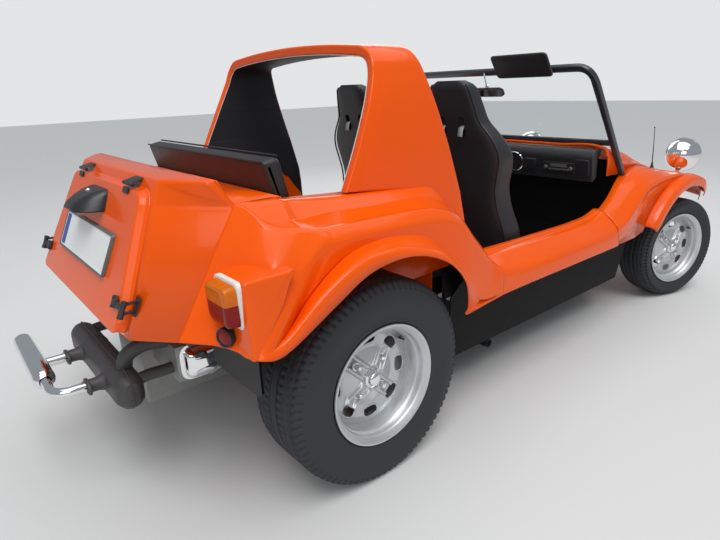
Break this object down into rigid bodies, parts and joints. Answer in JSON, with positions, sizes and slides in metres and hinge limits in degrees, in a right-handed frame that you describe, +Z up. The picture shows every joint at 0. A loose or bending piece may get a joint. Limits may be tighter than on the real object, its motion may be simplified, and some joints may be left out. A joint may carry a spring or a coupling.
{
  "type": "dune buggy",
  "caption": "Open four-seat dune buggy with a moulded body, wide roll hoop, boxed tail over a rear engine, and steered front wheels.",
  "frame": {"origin": "on the floor under the middle of the car's length and width", "axes": "+X forward, +Y to the left, +Z up"},
  "size_m": [3.73, 1.68, 1.432],
  "materials": {
    "orange_gelcoat": "glossy moulded glass-fibre shell",
    "black_trim": "satin black",
    "black_vinyl": "soft black vinyl",
    "hoop_paint": "glossy orange outside, black inside",
    "rim_silver": "silver paint",
    "tyre_rubber": "black rubber",
    "chassis_black": "black chassis paint",
    "chrome": "polished",
    "cast_grey": "cast",
    "clear_glass": "clear",
    "lamp_lens": "amber over red",
    "plate_white": "bare white",
    "rubber": "matt"
  },
  "bodies": {
    "chassis": {"rear_fender_left": "orange_gelcoat", "rear_fender_right": "orange_gelcoat", "sill_left": "orange_gelcoat", "sill_right": "orange_gelcoat", "front_fender_left": "orange_gelcoat", "front_fender_right": "orange_gelcoat", "hood_nose": "orange_gelcoat", "tail_box": "orange_gelcoat", "rear_well": "orange_gelcoat", "roll_hoop": "hoop_paint", "cabin_side_left": "black_trim", "cabin_side_right": "black_trim", "footwell": "black_trim", "dash_panel": "black_trim", "windscreen_frame": "chassis_black", "windscreen_glass": "clear_glass", "screen_fittings": "black_trim", "seat_left": "black_vinyl", "seat_right": "black_vinyl", "rear_bench": "black_vinyl", "floor_pan": "chassis_black", "jack_sockets": "chassis_black", "front_beam": "chassis_black", "rear_axle": "chassis_black", "engine_block": "cast_grey", "rocker_covers": "chrome", "exhaust_muffler": "chassis_black", "chrome_silencer": "chrome", "steering_column": "chassis_black", "controls": "chassis_black", "tail_lamps": "lamp_lens", "headlamps": "chrome", "mud_flaps": "rubber", "antenna": "black_trim", "lid_fixings": "black_trim"},
    "lid": {"engine_lid": "orange_gelcoat", "number_plate": "plate_white", "plate_lamp": "black_trim", "lid_latches": "rubber"},
    "steering": {"steering_wheel": "black_trim"},
    "knuckle_l": {"knuckle_left": "cast_grey"},
    "knuckle_r": {"knuckle_right": "cast_grey"},
    "wheel_front_l": {"rim_front_left": "rim_silver", "tyre_front_left": "tyre_rubber"},
    "wheel_front_r": {"rim_front_right": "rim_silver", "tyre_front_right": "tyre_rubber"},
    "wheel_rear_l": {"rim_rear_left": "rim_silver", "tyre_rear_left": "tyre_rubber"},
    "wheel_rear_r": {"rim_rear_right": "rim_silver", "tyre_rear_right": "tyre_rubber"}
  },
  "joints": [
    {"name": "engine_lid_hinge", "type": "hinge", "parent": "chassis", "child": "lid", "pos_m": [-1.541, 0, 1.029], "axis": [0, 1, 0], "range_deg": [0, 75]},
    {"name": "steer_left", "type": "hinge", "parent": "chassis", "child": "knuckle_l", "pos_m": [1.44, 0.56, 0.295], "axis": [0, 0, 1], "range_deg": [-14, 46]},
    {"name": "steer_right", "type": "hinge", "parent": "chassis", "child": "knuckle_r", "pos_m": [1.44, -0.56, 0.295], "axis": [0, 0, 1], "range_deg": [-14, 46]},
    {"name": "steering_wheel_turn", "type": "hinge", "parent": "chassis", "child": "steering", "pos_m": [0.262, 0.33, 0.872], "axis": [-0.9063, 0, 0.4226], "range_deg": [-196, 644]},
    {"name": "spin_front_left", "type": "hinge", "parent": "knuckle_l", "child": "wheel_front_l", "pos_m": [1.44, 0.56, 0.295], "axis": [0.2756, 0.9613, 0], "continuous": true},
    {"name": "spin_front_right", "type": "hinge", "parent": "knuckle_r", "child": "wheel_front_r", "pos_m": [1.44, -0.56, 0.295], "axis": [0.2756, 0.9613, 0], "continuous": true},
    {"name": "spin_rear_left", "type": "hinge", "parent": "chassis", "child": "wheel_rear_l", "pos_m": [-1, 0.65, 0.355], "axis": [0, 1, 0], "continuous": true},
    {"name": "spin_rear_right", "type": "hinge", "parent": "chassis", "child": "wheel_rear_r", "pos_m": [-1, -0.65, 0.355], "axis": [0, 1, 0], "continuous": true}
  ],
  "couplings": [
    {"joint": "steer_right", "follows": "steer_left", "ratio": 1},
    {"joint": "steering_wheel_turn", "follows": "steer_left", "ratio": 14}
  ]
}
